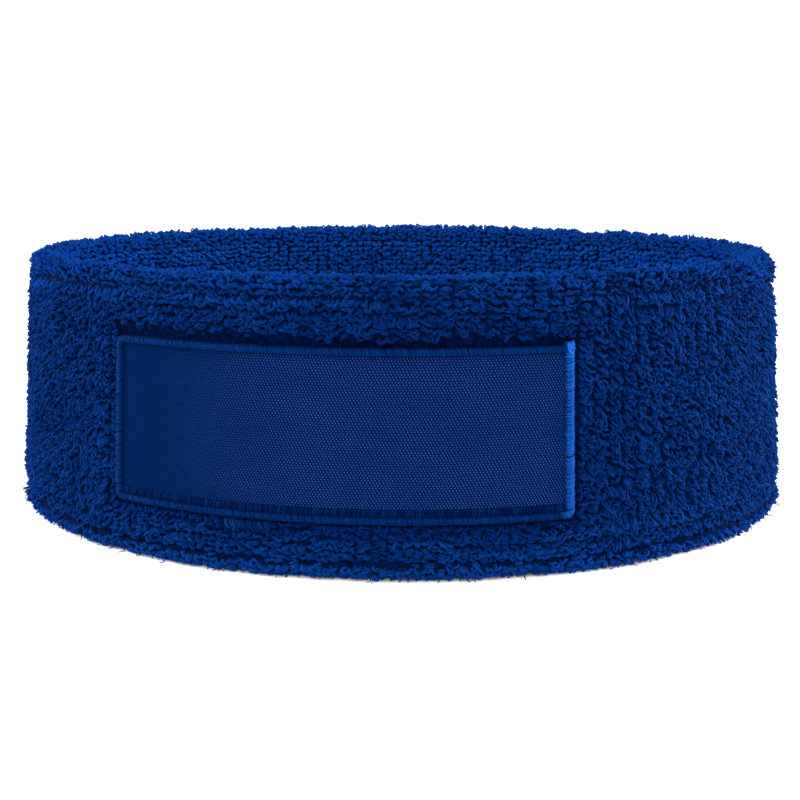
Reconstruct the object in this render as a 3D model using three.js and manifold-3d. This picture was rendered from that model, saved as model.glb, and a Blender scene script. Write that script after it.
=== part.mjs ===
// Terry sweat headband: a tube of looped knit folded double at its upper edge and closed below by a
// chain-stitched hem, with laid-in elastic yarns and a woven label framed in satin stitch.
// Millimetres, +Z up. The origin is the centre of the oval, in the plane that the hem rests on,
// and the label faces -Y.
import * as THREE from 'three';
import { mergeVertices } from 'three/addons/utils/BufferGeometryUtils.js';
import Module from 'manifold-3d';

// Relaxed band, measured over the pile. Its seam spreads the lower edge past the folded upper one.
const BAND_HEIGHT = 50;
const HALF_LENGTH = 74.2;
const HALF_DEPTH = 53.7;
const FLARE = 4.4;

// Cloth and yarn
const CLEARANCE = 0.3;
const PILE_THICKNESS = 2;
const GROUND_THICKNESS = 0.6;
const ELASTIC_DIAMETER = 0.6;
const ELASTIC_PITCH = 11;
const ELASTIC_TURNS = 3;

// Closing seam, in a notch above the selvedges
const HEM_HEIGHT = 3.6;
const HEM_ROUNDING = 1;
const SEAM_THREAD_DIAMETER = 0.6;
const SEAM_NOTCH_DEPTH = 1.6;

// Label, sewn into a field of flattened pile
const LABEL_WIDTH = 80;
const LABEL_HEIGHT = 30;
const LABEL_BOTTOM = 9.2;
const LABEL_SHIFT = -9.4;
const LABEL_THICKNESS = 0.3;
const BORDER_WIDTH = 2;
const BORDER_THICKNESS = 0.7;
const BOBBIN_WIDTH = 1;
const STABILISER_THICKNESS = 0.3;
const FLATTENED_PILE = 0.5;

// Fineness of the curved faces
const RING_SEGMENTS = 60;
const FOLD_SEGMENTS = 6;
const THREAD_SIDES = 6;
const ELASTIC_SIDES = 3;
const PANEL_STEP = 5;
const ARC_STEP = 0.5;
const CUTTER_REACH = 2;

// Depths through the wall, counted outwards from the face of the outer pile
const OUTER_FACE = 0;
const PILE_BACK = OUTER_FACE - PILE_THICKNESS;
const GROUND_FRONT = PILE_BACK - CLEARANCE;
const GROUND_BACK = GROUND_FRONT - GROUND_THICKNESS;
const STABILISER_FRONT = GROUND_BACK - CLEARANCE;
const STABILISER_BACK = STABILISER_FRONT - STABILISER_THICKNESS;
const ELASTIC_CENTRE = STABILISER_BACK - CLEARANCE - ELASTIC_DIAMETER / 2;
const INNER_GROUND_BACK = ELASTIC_CENTRE - ELASTIC_DIAMETER / 2 - CLEARANCE;
const INNER_GROUND_FRONT = INNER_GROUND_BACK - GROUND_THICKNESS;
const INNER_PILE_BACK = INNER_GROUND_FRONT - CLEARANCE;
const INNER_FACE = INNER_PILE_BACK - PILE_THICKNESS;
const WALL_CENTRE = (OUTER_FACE + INNER_FACE) / 2;
const RECESS_FLOOR = PILE_BACK + FLATTENED_PILE;
const LABEL_BACK = RECESS_FLOOR + CLEARANCE;
const LABEL_FRONT = LABEL_BACK + LABEL_THICKNESS;
const BORDER_BACK = LABEL_FRONT + CLEARANCE;
const BORDER_FRONT = BORDER_BACK + BORDER_THICKNESS;

// Heights
const FOLD_RADIUS = (OUTER_FACE - INNER_FACE) / 2;
const FOLD_CENTRE = BAND_HEIGHT - FOLD_RADIUS;
const PILE_BOTTOM = HEM_HEIGHT + CLEARANCE;
const PILE_TOP = FOLD_CENTRE - CLEARANCE;
const SEAM_CENTRE = HEM_HEIGHT + CLEARANCE / 2;
const SEAM_DEPTH = SEAM_NOTCH_DEPTH + CLEARANCE / 2
  - Math.SQRT2 * (SEAM_THREAD_DIAMETER / 2 + CLEARANCE);
const LABEL_CENTRE = LABEL_BOTTOM + LABEL_HEIGHT / 2;
const ELASTIC_MIDDLE = (PILE_BOTTOM + FOLD_CENTRE) / 2;

const COLOURS = {
  pile: 0x062660,
  ground: 0x041b48,
  seam: 0x0a3275,
  elastic: 0x8f96a3,
  label: 0x122c65,
  border: 0x0c4090,
  stabiliser: 0xe6e6e2,
};

const wasm = await Module();
wasm.setup();

/** How far the wall leans out at a height. */
function leanAt(height) {
  return FLARE * (1 - height / BAND_HEIGHT);
}

/** Length of the oval that one radian of its parameter covers. */
function ovalSpeed(angle) {
  return Math.hypot(HALF_LENGTH * Math.sin(angle), HALF_DEPTH * Math.cos(angle));
}

/** Parameter of the oval at an arc length from the middle of its front, positive towards +X. */
function angleAtArc(arc) {
  const steps = Math.max(1, Math.ceil(Math.abs(arc) / ARC_STEP));
  const stride = arc / steps;
  let angle = -Math.PI / 2;
  for (let i = 0; i < steps; i += 1) {
    const middle = angle + stride / 2 / ovalSpeed(angle);
    angle += stride / ovalSpeed(middle);
  }
  return angle;
}

/** Point of the wall at a parameter of the oval, a depth from the outer face and a height. */
function wallPoint(angle, depth, height) {
  const offset = (depth + leanAt(height)) / ovalSpeed(angle);
  return new THREE.Vector3(
    (HALF_LENGTH + HALF_DEPTH * offset) * Math.cos(angle),
    (HALF_DEPTH + HALF_LENGTH * offset) * Math.sin(angle),
    height,
  );
}

/** Moves every vertex of a geometry through a function and leaves shared positions only. */
function reshape(geometry, move) {
  const positions = geometry.getAttribute('position');
  const point = new THREE.Vector3();
  for (let i = 0; i < positions.count; i += 1) {
    point.fromBufferAttribute(positions, i);
    const moved = move(point);
    positions.setXYZ(i, moved.x, moved.y, moved.z);
  }
  geometry.deleteAttribute('normal');
  geometry.deleteAttribute('uv');
  return mergeVertices(geometry);
}

/** Ring round the oval, from a closed profile of depths and heights that runs anticlockwise. */
function ovalRing(profile) {
  const points = [...profile, profile[0]].map(
    ([depth, height]) => new THREE.Vector2(HALF_LENGTH + depth, height),
  );
  const lathe = new THREE.LatheGeometry(points, RING_SEGMENTS);
  return reshape(lathe, ({ x, y, z }) => (
    wallPoint(Math.atan2(-z, x), Math.hypot(x, z) - HALF_LENGTH, y)
  ));
}

/** Points of an arc about a depth and a height, as a profile holds them. */
function arcProfile(depth, height, radius, start, end, segments) {
  return Array.from({ length: segments + 1 }, (_, i) => {
    const angle = THREE.MathUtils.lerp(start, end, i / segments);
    return [depth + radius * Math.cos(angle), height + radius * Math.sin(angle)];
  });
}

/** Rectangular sheet that follows the front of the wall, centred on the label. */
function labelSheet(width, height, back, front) {
  const columns = Math.ceil(width / PANEL_STEP);
  const box = new THREE.BoxGeometry(width, height, front - back, columns, 1, 1);
  return reshape(box, ({ x, y, z }) => (
    wallPoint(angleAtArc(LABEL_SHIFT + x), (front + back) / 2 + z, LABEL_CENTRE + y)
  ));
}

/** One body less another, as three.js geometry. */
function subtract(body, tool) {
  const [solid, cutter] = [body, tool].map((geometry) => new wasm.Manifold(new wasm.Mesh({
    numProp: 3,
    vertProperties: new Float32Array(geometry.getAttribute('position').array),
    triVerts: new Uint32Array(geometry.index.array),
  })));
  const mesh = solid.subtract(cutter).getMesh();
  const result = new THREE.BufferGeometry();
  result.setAttribute('position', new THREE.BufferAttribute(mesh.vertProperties, 3));
  result.setIndex(new THREE.BufferAttribute(mesh.triVerts, 1));
  return result;
}

/** Rectangular frame that follows the front of the wall, with bars of one width. */
function labelFrame(width, height, bar, back, front) {
  const outline = labelSheet(width, height, back, front);
  const opening = labelSheet(
    width - 2 * bar,
    height - 2 * bar,
    back - CUTTER_REACH,
    front + CUTTER_REACH,
  );
  return subtract(outline, opening);
}

/** Loops on the outward face, with the field that the label flattens. */
function outerPile() {
  const ring = ovalRing([
    [PILE_BACK, PILE_BOTTOM],
    [OUTER_FACE - SEAM_NOTCH_DEPTH, PILE_BOTTOM],
    [OUTER_FACE, PILE_BOTTOM + SEAM_NOTCH_DEPTH],
    [OUTER_FACE, PILE_TOP],
    [PILE_BACK, PILE_TOP],
  ]);
  const field = labelSheet(
    LABEL_WIDTH + 2 * CLEARANCE,
    LABEL_HEIGHT + 2 * CLEARANCE,
    RECESS_FLOOR,
    OUTER_FACE + CUTTER_REACH,
  );
  return subtract(ring, field);
}

/** Loops on the skin side. */
function innerPile() {
  return ovalRing([
    [INNER_PILE_BACK, PILE_TOP],
    [INNER_FACE, PILE_TOP],
    [INNER_FACE, PILE_BOTTOM + SEAM_NOTCH_DEPTH],
    [INNER_FACE + SEAM_NOTCH_DEPTH, PILE_BOTTOM],
    [INNER_PILE_BACK, PILE_BOTTOM],
  ]);
}

/** Loops that fan out over the folded upper edge. */
function foldPile() {
  const inside = FOLD_RADIUS - PILE_THICKNESS;
  return ovalRing([
    ...arcProfile(WALL_CENTRE, FOLD_CENTRE, FOLD_RADIUS, 0, Math.PI, FOLD_SEGMENTS),
    ...arcProfile(WALL_CENTRE, FOLD_CENTRE, inside, Math.PI, 0, FOLD_SEGMENTS),
  ]);
}

/** Ground knit that carries the loops: two walls joined by the fold. */
function groundKnit() {
  const outside = GROUND_FRONT - WALL_CENTRE;
  const inside = GROUND_BACK - WALL_CENTRE;
  return ovalRing([
    [GROUND_FRONT, PILE_BOTTOM],
    ...arcProfile(WALL_CENTRE, FOLD_CENTRE, outside, 0, Math.PI, FOLD_SEGMENTS),
    [INNER_GROUND_FRONT, PILE_BOTTOM],
    [INNER_GROUND_BACK, PILE_BOTTOM],
    ...arcProfile(WALL_CENTRE, FOLD_CENTRE, inside, Math.PI, 0, FOLD_SEGMENTS),
    [GROUND_BACK, PILE_BOTTOM],
  ]);
}

/** Both selvedges of the tube, pressed together below the seam. */
function hemSelvedge() {
  return ovalRing([
    [INNER_FACE + HEM_ROUNDING, 0],
    [OUTER_FACE - HEM_ROUNDING, 0],
    [OUTER_FACE, HEM_ROUNDING],
    [OUTER_FACE, HEM_HEIGHT - SEAM_NOTCH_DEPTH],
    [OUTER_FACE - SEAM_NOTCH_DEPTH, HEM_HEIGHT],
    [INNER_FACE + SEAM_NOTCH_DEPTH, HEM_HEIGHT],
    [INNER_FACE, HEM_HEIGHT - SEAM_NOTCH_DEPTH],
    [INNER_FACE, HEM_ROUNDING],
  ]);
}

/** Thread that lies in the seam's notch all the way round. */
function seamThread(depth) {
  const radius = SEAM_THREAD_DIAMETER / 2;
  const turn = 2 * Math.PI;
  const section = arcProfile(depth, SEAM_CENTRE, radius, 0, turn, THREAD_SIDES);
  return ovalRing(section.slice(0, THREAD_SIDES));
}

/** Covered rubber yarn that climbs the wall in a spiral, about a middle height. */
function elasticYarn(middle) {
  const steps = ELASTIC_TURNS * RING_SEGMENTS;
  const rise = ELASTIC_PITCH * ELASTIC_TURNS;
  const route = Array.from({ length: steps + 1 }, (_, i) => {
    const share = i / steps;
    const angle = Math.PI / 2 + share * ELASTIC_TURNS * 2 * Math.PI;
    return wallPoint(angle, ELASTIC_CENTRE, middle + rise * (share - 0.5));
  });
  const section = new THREE.Shape();
  section.absarc(0, 0, ELASTIC_DIAMETER / 2, 0, 2 * Math.PI);
  const yarn = new THREE.ExtrudeGeometry(section, {
    steps,
    curveSegments: ELASTIC_SIDES,
    extrudePath: new THREE.CatmullRomCurve3(route),
  });
  return reshape(yarn, (point) => point);
}

const headband = new THREE.Group();

/** Adds a piece to the band. */
function addPiece(name, geometry, color, roughness) {
  const material = new THREE.MeshStandardMaterial({ color, roughness, metalness: 0 });
  const mesh = new THREE.Mesh(geometry, material);
  mesh.name = name;
  headband.add(mesh);
}

const bobbinInset = BORDER_WIDTH - BOBBIN_WIDTH;
const bobbinWidth = LABEL_WIDTH - bobbinInset;
const bobbinHeight = LABEL_HEIGHT - bobbinInset;
const stabiliserInset = 2 * (BOBBIN_WIDTH + CLEARANCE);

addPiece('outer_terry_pile', outerPile(), COLOURS.pile, 1);
addPiece('fold_terry_pile', foldPile(), COLOURS.pile, 1);
addPiece('inner_terry_pile', innerPile(), COLOURS.pile, 1);
addPiece('hem_selvedge', hemSelvedge(), COLOURS.pile, 1);
addPiece('ground_knit_tube', groundKnit(), COLOURS.ground, 0.9);
addPiece(
  'elastic_yarn_outer_wall',
  elasticYarn(ELASTIC_MIDDLE + ELASTIC_PITCH / 4),
  COLOURS.elastic,
  0.6,
);
addPiece(
  'elastic_yarn_inner_wall',
  elasticYarn(ELASTIC_MIDDLE - ELASTIC_PITCH / 4),
  COLOURS.elastic,
  0.6,
);
addPiece('seam_needle_thread', seamThread(OUTER_FACE - SEAM_DEPTH), COLOURS.seam, 0.6);
addPiece('seam_looper_thread', seamThread(INNER_FACE + SEAM_DEPTH), COLOURS.seam, 0.6);
addPiece(
  'label_panel',
  labelSheet(LABEL_WIDTH, LABEL_HEIGHT, LABEL_BACK, LABEL_FRONT),
  COLOURS.label,
  0.45,
);
addPiece(
  'label_border_thread',
  labelFrame(LABEL_WIDTH, LABEL_HEIGHT, BORDER_WIDTH, BORDER_BACK, BORDER_FRONT),
  COLOURS.border,
  0.4,
);
addPiece(
  'label_bobbin_thread',
  labelFrame(bobbinWidth, bobbinHeight, BOBBIN_WIDTH, STABILISER_BACK, STABILISER_FRONT),
  COLOURS.border,
  0.6,
);
addPiece(
  'label_stabiliser',
  labelSheet(
    bobbinWidth - stabiliserInset,
    bobbinHeight - stabiliserInset,
    STABILISER_BACK,
    STABILISER_FRONT,
  ),
  COLOURS.stabiliser,
  0.9,
);

export default headband;
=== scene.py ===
"""Terry sweat headband: the looks of its cloth, loops, label and stitching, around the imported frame."""

import logging
import math
from dataclasses import dataclass, field
from enum import Enum

import bpy
import numpy as np
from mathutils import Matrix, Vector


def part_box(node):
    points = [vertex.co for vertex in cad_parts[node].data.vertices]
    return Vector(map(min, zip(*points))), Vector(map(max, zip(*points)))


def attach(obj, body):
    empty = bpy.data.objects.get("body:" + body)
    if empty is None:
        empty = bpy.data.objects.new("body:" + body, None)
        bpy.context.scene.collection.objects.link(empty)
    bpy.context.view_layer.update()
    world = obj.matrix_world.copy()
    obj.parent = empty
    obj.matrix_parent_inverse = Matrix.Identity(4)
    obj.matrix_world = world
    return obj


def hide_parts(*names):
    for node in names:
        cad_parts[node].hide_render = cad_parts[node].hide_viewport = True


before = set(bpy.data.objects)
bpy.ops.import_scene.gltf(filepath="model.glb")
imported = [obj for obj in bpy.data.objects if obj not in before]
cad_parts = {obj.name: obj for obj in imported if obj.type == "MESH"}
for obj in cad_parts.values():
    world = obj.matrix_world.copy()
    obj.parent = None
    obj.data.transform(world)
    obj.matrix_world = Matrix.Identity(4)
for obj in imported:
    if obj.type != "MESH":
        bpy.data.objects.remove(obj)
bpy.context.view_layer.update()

LOG = logging.getLogger("headband")
MM = 0.001
TURN = 2 * math.pi
PATTERN_MAP = "OFBake"
SHADES = 16
BODY = "root"


class Zone(Enum):
    """A stretch of the wall's section that has its own sub-part."""

    OUTER = "outer_terry_pile"
    FOLD = "fold_terry_pile"
    INNER = "inner_terry_pile"
    HEM = "hem_selvedge"


# ---------------------------------------------------------------- nodes and colours


def linear(colour: str) -> tuple[float, float, float, float]:
    """Turn an sRGB hex colour into the linear RGBA that the shaders take.

    Args:
        colour: Six hex digits after a hash.

    Returns:
        Red, green, blue and full alpha.
    """
    parts = [int(colour[i : i + 2], 16) / 255 for i in (1, 3, 5)]
    linear_parts = [c / 12.92 if c <= 0.04045 else ((c + 0.055) / 1.055) ** 2.4 for c in parts]
    return (*linear_parts, 1.0)


def node(
    tree: bpy.types.NodeTree,
    kind: str,
    *values: object,
    links: dict[int | str, object] | None = None,
    stops: list[tuple[float, str]] | None = None,
    **settings: object,
) -> bpy.types.Node:
    """Add one shader node with its settings, input values and links.

    Args:
        tree: The material's node tree.
        kind: The node's type without its ShaderNode prefix.
        *values: Its first inputs in order: values, output sockets, or nodes for their first output.
        links: More inputs, by socket number or name.
        stops: A colour ramp's places and sRGB hex colours, in order.
        **settings: Properties of the node itself.

    Returns:
        The new node.
    """
    made = tree.nodes.new("ShaderNode" + kind)
    for name, value in settings.items():
        setattr(made, name, value)
    for socket, value in {**dict(enumerate(values)), **(links or {})}.items():
        if isinstance(value, bpy.types.Node):
            value = value.outputs[0]
        if isinstance(value, bpy.types.NodeSocket):
            tree.links.new(value, made.inputs[socket])
        else:
            made.inputs[socket].default_value = value
    if stops:
        elements = made.color_ramp.elements
        while len(elements) < len(stops):
            elements.new(0.5)
        for element, (place, colour) in zip(elements, stops):
            element.position = place
            element.color = linear(colour)
    return made


# ---------------------------------------------------------------- finishes


class Finish:
    """A material that is a pattern of its own under one Principled shader."""

    name: str

    def surface(self, tree: bpy.types.NodeTree) -> dict[str, object]:
        """Add the pattern's nodes, and return the shader's inputs by name."""
        raise NotImplementedError

    def build(self) -> bpy.types.Material:
        """Make the material."""
        material = bpy.data.materials.new(self.name)
        material.use_nodes = True
        tree = material.node_tree
        tree.nodes.clear()
        node(tree, "OutputMaterial", node(tree, "BsdfPrincipled", links=self.surface(tree)))
        return material


@dataclass(frozen=True)
class StrandFinish(Finish):
    """A yarn or thread whose map has one column for each shade, and runs up along the strand.

    The twist shows as slanting filaments with painted shade in the grooves between them, and painted shade
    darkens each strand towards its roots, below its lighter top. The usual
    values are those of soft carded cotton: matt, with a sheen of loose fibre ends.
    """

    name: str
    shades: tuple[str, str, str]
    roughness: float = 0.95
    sheen: float = 0.2
    sheen_tint: str = "#2468cc"
    filaments: float = 2.0
    slant: float = 3.0
    root_shade: float = 1.0
    specular: float = 0.02
    filament_light: float = 0.25
    groove_light: float = 0.8
    filament_mm: float = 0.05

    def surface(self, tree: bpy.types.NodeTree) -> dict[str, object]:
        """Add the twist and the shades, and return the shader's inputs by name."""
        split = node(tree, "SeparateXYZ", node(tree, "UVMap", uv_map=PATTERN_MAP))
        column = node(tree, "Math", split.outputs[0], float(SHADES), operation="MULTIPLY")
        whole = node(tree, "Math", column, operation="FLOOR")
        shade = node(tree, "Math", whole, float(SHADES - 1), operation="DIVIDE")
        around = node(tree, "Math", column, operation="FRACT")
        along = split.outputs[1]
        twist = node(tree, "Math", along, self.slant, around, operation="MULTIPLY_ADD")
        turns = node(tree, "Math", twist, self.filaments * TURN, operation="MULTIPLY")
        wave = node(tree, "Math", turns, operation="SINE")
        filament = node(tree, "Math", wave, 0.5, 0.5, operation="MULTIPLY_ADD")
        colour = node(tree, "ValToRGB", shade, stops=list(zip((0.0, 0.5, 1.0), self.shades)))
        # Painted shade: the colour darkens from the strand's top towards both roots, down to root_shade.
        arch = node(tree, "Math", along, math.pi, operation="MULTIPLY")
        top = node(tree, "Math", arch, operation="SINE")
        depth = 1.0 - self.root_shade
        lit = node(tree, "Math", top, depth, self.root_shade, operation="MULTIPLY_ADD")
        # Painted shade in the grooves between the twisted filaments.
        filament_shade = node(
            tree, "Math", filament, self.filament_light, self.groove_light, operation="MULTIPLY_ADD"
        )
        lit = node(tree, "Math", lit, filament_shade, operation="MULTIPLY")
        relief = {"Height": filament, "Distance": self.filament_mm * MM, "Strength": 0.5}
        return {
            "Base Color": node(tree, "VectorMath", colour, links={3: lit}, operation="SCALE"),
            "Roughness": self.roughness,
            "Specular IOR Level": self.specular,
            "Specular Tint": linear(self.sheen_tint),
            "Sheen Weight": self.sheen,
            "Sheen Roughness": 0.35,
            "Sheen Tint": linear(self.sheen_tint),
            "Normal": node(tree, "Bump", links=relief),
        }


@dataclass(frozen=True)
class GroundKnitFinish(Finish):
    """Plain nylon knit under the loops: dark, matt, with a fine rib of stitches 1 mm apart, and painted
    shade that darkens each stitch towards its edge.
    """

    width_mm: float
    length_mm: float
    name: str = "nylon_ground_knit"
    deep: str = "#010924"
    raised: str = "#011340"
    stitch_mm: float = 1.0
    stitch_depth_mm: float = 0.2

    def surface(self, tree: bpy.types.NodeTree) -> dict[str, object]:
        """Add the stitches, and return the shader's inputs by name."""
        place = node(tree, "UVMap", uv_map=PATTERN_MAP)
        scale = (self.width_mm / self.stitch_mm, self.length_mm / self.stitch_mm, 1.0)
        spread = node(tree, "Mapping", links={"Vector": place, "Scale": scale})
        cells = node(tree, "TexVoronoi", links={"Vector": spread, "Scale": 1.0}, voronoi_dimensions="2D")
        height = node(tree, "Math", 1.0, cells, operation="SUBTRACT")
        relief = {"Height": height, "Distance": self.stitch_depth_mm * MM, "Strength": 0.8}
        return {
            # Painted shade: the raised colour in each stitch's middle, the deep colour towards its edges.
            "Base Color": node(tree, "ValToRGB", cells, stops=[(0.0, self.raised), (0.6, self.deep)]),
            "Roughness": 0.95,
            "Specular IOR Level": 0.02,
            "Normal": node(tree, "Bump", links=relief),
        }


@dataclass(frozen=True)
class SatinWeaveFinish(Finish):
    """Woven polyester satin: warp floats with staggered binding points, and painted glints on them as small
    light dots.

    The dots are 0.4 to 0.55 mm apart. The painted glints fade out towards the label's left side, where the
    ground is a slightly different blue.
    """

    width_mm: float
    height_mm: float
    name: str = "polyester_satin_weave"
    ground: str = "#00103d"
    left_ground: str = "#00153a"
    painted_glint_colour: str = "#2a4678"
    dot_across_mm: float = 0.55
    dot_up_mm: float = 0.42
    dot_from: float = 0.1
    dot_to: float = 0.42
    warp_mm: float = 0.18
    float_depth_mm: float = 0.05
    stagger: float = 0.4
    glint_dim_until: float = 0.12
    glint_full_from: float = 0.42
    glint_dim_share: float = 0.06

    def surface(self, tree: bpy.types.NodeTree) -> dict[str, object]:
        """Add the painted glint dots, the warp and the glints' fade towards the left, and return the
        shader's inputs by name.
        """
        place = node(tree, "UVMap", uv_map=PATTERN_MAP)
        split = node(tree, "SeparateXYZ", place)
        side, rise = split.outputs[0], split.outputs[1]
        wander = node(tree, "TexNoise", links={"Vector": place, "Scale": 60.0, "Detail": 1.0})
        drift = node(tree, "Math", wander, 0.5, -0.25, operation="MULTIPLY_ADD")
        columns, rows = self.width_mm / self.dot_across_mm, self.height_mm / self.dot_up_mm
        across = node(tree, "Math", side, columns, drift, operation="MULTIPLY_ADD")
        up = node(tree, "Math", rise, rows, drift, operation="MULTIPLY_ADD")
        row = node(tree, "Math", up, operation="FLOOR")
        moved = node(tree, "Math", row, self.stagger, across, operation="MULTIPLY_ADD")
        squares = []
        for line, stretch in ((moved, 1.6), (up, 0.9)):
            share = node(tree, "Math", line, operation="FRACT")
            centred = node(tree, "Math", share, 0.5, operation="SUBTRACT")
            drawn = node(tree, "Math", centred, stretch, operation="MULTIPLY")
            squares.append(node(tree, "Math", drawn, 2.0, operation="POWER"))
        reach = node(tree, "Math", node(tree, "Math", *squares, operation="ADD"), operation="SQRT")
        dot = node(
            tree, "MapRange", reach, self.dot_from, self.dot_to, 1.0, 0.0, interpolation_type="SMOOTHSTEP"
        )
        floats = node(tree, "Math", side, self.width_mm / self.warp_mm * TURN, operation="MULTIPLY")
        warp = node(tree, "Math", floats, operation="SINE")
        cloudy = node(tree, "TexNoise", links={"Vector": place, "Scale": 7.0, "Detail": 4.0})
        # The painted glints dim towards the label's left side, and the ground turns a slightly different
        # blue there.
        glint_reach = node(tree, "MapRange", side, self.glint_dim_until, self.glint_full_from, self.glint_dim_share, 1.0)
        bright = node(tree, "Math", cloudy, 0.35, operation="ADD")
        shown = node(tree, "Math", dot, glint_reach, operation="MULTIPLY")
        glint = node(tree, "Math", shown, bright, operation="MULTIPLY")
        # Painted highlight: the base colour mixes towards the glint colour on the dots, and faintly along
        # the warp's ridges.
        blend = node(tree, "Math", warp, 0.03, glint, operation="MULTIPLY_ADD")
        base = node(tree, "ValToRGB", glint_reach, stops=[(self.glint_dim_share, self.left_ground), (1.0, self.ground)])
        colours = {0: blend, 6: base, 7: linear(self.painted_glint_colour)}
        height = node(tree, "Math", warp, 0.15, dot, operation="MULTIPLY_ADD")
        relief = {"Height": height, "Distance": self.float_depth_mm * MM, "Strength": 0.6}
        return {
            "Base Color": node(tree, "Mix", links=colours, data_type="RGBA").outputs[2],
            "Roughness": 0.42,
            "Specular IOR Level": 0.0,
            "Normal": node(tree, "Bump", links=relief),
        }


@dataclass(frozen=True)
class CoveredRubberFinish(Finish):
    """Rubber core wrapped in white nylon: pale, with the wrap's fine slanting turns, and painted shade
    darkening the grooves between them.
    """

    name: str = "nylon_covered_rubber"
    wrap_mm: float = 0.35
    wraps_per_scale: float = 20.0
    light: str = "#d9d8d2"
    shade: str = "#a9a8a2"

    def surface(self, tree: bpy.types.NodeTree) -> dict[str, object]:
        """Add the wrap, and return the shader's inputs by name."""
        place = node(tree, "TexCoord").outputs["Object"]
        turns = {"Vector": place, "Scale": 1 / (self.wrap_mm * MM * self.wraps_per_scale)}
        turns |= {"Distortion": 0.6, "Detail": 1.0}
        wrap = node(tree, "TexWave", links=turns, bands_direction="DIAGONAL").outputs["Fac"]
        relief = {"Height": wrap, "Distance": 0.05 * MM, "Strength": 0.6}
        return {
            # Painted shade: the shade colour lies in the wrap's grooves, the light colour on its ridges.
            "Base Color": node(tree, "ValToRGB", wrap, stops=[(0.0, self.shade), (0.8, self.light)]),
            "Roughness": 0.6,
            "Normal": node(tree, "Bump", links=relief),
        }


@dataclass(frozen=True)
class CloudedFinish(Finish):
    """Pressed fibre or paper: matt and pale, clouded by a fine mottle."""

    name: str
    light: str
    shade: str
    mottle: float
    detail: float
    stops: tuple[float, float]
    roughness: float
    specular: float = 0.5
    relief_mm: float = 0.0

    def surface(self, tree: bpy.types.NodeTree) -> dict[str, object]:
        """Add the mottle, and return the shader's inputs by name."""
        place = node(tree, "TexCoord").outputs["Object"]
        mottle = node(tree, "TexNoise", links={"Vector": place, "Scale": self.mottle, "Detail": self.detail})
        stops = list(zip(self.stops, (self.shade, self.light)))
        inputs = {
            "Base Color": node(tree, "ValToRGB", mottle, stops=stops),
            "Roughness": self.roughness,
            "Specular IOR Level": self.specular,
        }
        if self.relief_mm:
            relief = {"Height": mottle, "Distance": self.relief_mm * MM, "Strength": 0.5}
            inputs["Normal"] = node(tree, "Bump", links=relief)
        return inputs


TERRY = StrandFinish("terry_cotton", ("#021b52", "#022259", "#043077"))
# A lighter copy of the terry for the skin side: painted light.
LIT_INNER_TERRY = StrandFinish("terry_cotton_lit_inner", ("#03266a", "#04327e", "#053d8e"))
LOOSE_FIBRE = StrandFinish(
    "loose_cotton_fibre",
    ("#032363", "#07327f", "#0e4598"),
    roughness=0.9,
    sheen=0.15,
    sheen_tint="#2a62d0",
    filaments=1.0,
    slant=1.0,
    root_shade=0.9,
    specular=0.03,
)
# Spun and filament polyester are smoother than cotton, so they gleam along the stitch.
SEAM_THREAD = StrandFinish(
    "spun_polyester",
    ("#010c2c", "#031c50", "#052c74"),
    roughness=0.6,
    sheen=0.05,
    sheen_tint="#3a72d8",
    filaments=3.0,
    slant=6.0,
    root_shade=0.8,
    specular=0.03,
)
EMBROIDERY_THREAD = StrandFinish(
    "trilobal_polyester",
    ("#000f38", "#022860", "#185cba"),
    roughness=0.38,
    sheen=0.05,
    sheen_tint="#1c66d0",
    slant=4.0,
    root_shade=0.62,
    specular=0.03,
)
BOBBIN_THREAD = StrandFinish(
    "bobbin_thread",
    ("#0a1a3c", "#12305f", "#1f4a86"),
    roughness=0.5,
    sheen=0.1,
    sheen_tint="#8fb2ee",
    filaments=3.0,
    slant=4.0,
    root_shade=0.9,
    specular=0.3,
)
TEAR_AWAY_BACKING = CloudedFinish(
    "tear_away_backing", "#e6e4dc", "#c9c7be", 900.0, 6.0, (0.35, 0.65), 0.95, relief_mm=0.05
)
PAPER_SWEEP = CloudedFinish("paper_sweep", "#fbfbfb", "#f7f7f7", 30.0, 2.0, (0.3, 0.7), 0.9, specular=0.1)


# ---------------------------------------------------------------- shape helpers


def deselect_all() -> None:
    """Leave nothing selected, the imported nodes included."""
    bpy.ops.object.select_all(action="DESELECT")


def smooth_step(value: np.ndarray, low: float, high: float) -> np.ndarray:
    """Ease from 0 below one value to 1 above the other.

    Args:
        value: What is measured.
        low: Where the step starts.
        high: Where it ends, which may be below its start.

    Returns:
        The eased share, 0 to 1.
    """
    share = np.clip((value - low) / (high - low), 0, 1)
    return share * share * (3 - 2 * share)


def blend_grid(grid: np.ndarray, i: np.ndarray, j: np.ndarray, p: np.ndarray, q: np.ndarray) -> np.ndarray:
    """Read between a grid's points. Its first axis closes on itself.

    Args:
        grid: The values.
        i: The lower neighbour along the first axis.
        j: The lower neighbour along the second axis.
        p: The share of the way to the next one along the first axis.
        q: The same along the second.

    Returns:
        The blended values.
    """
    i0, i1 = i % len(grid), (i + 1) % len(grid)
    low = grid[i0, j] * (1 - p) + grid[i1, j] * p
    high = grid[i0, j + 1] * (1 - p) + grid[i1, j + 1] * p
    return low * (1 - q) + high * q


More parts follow.
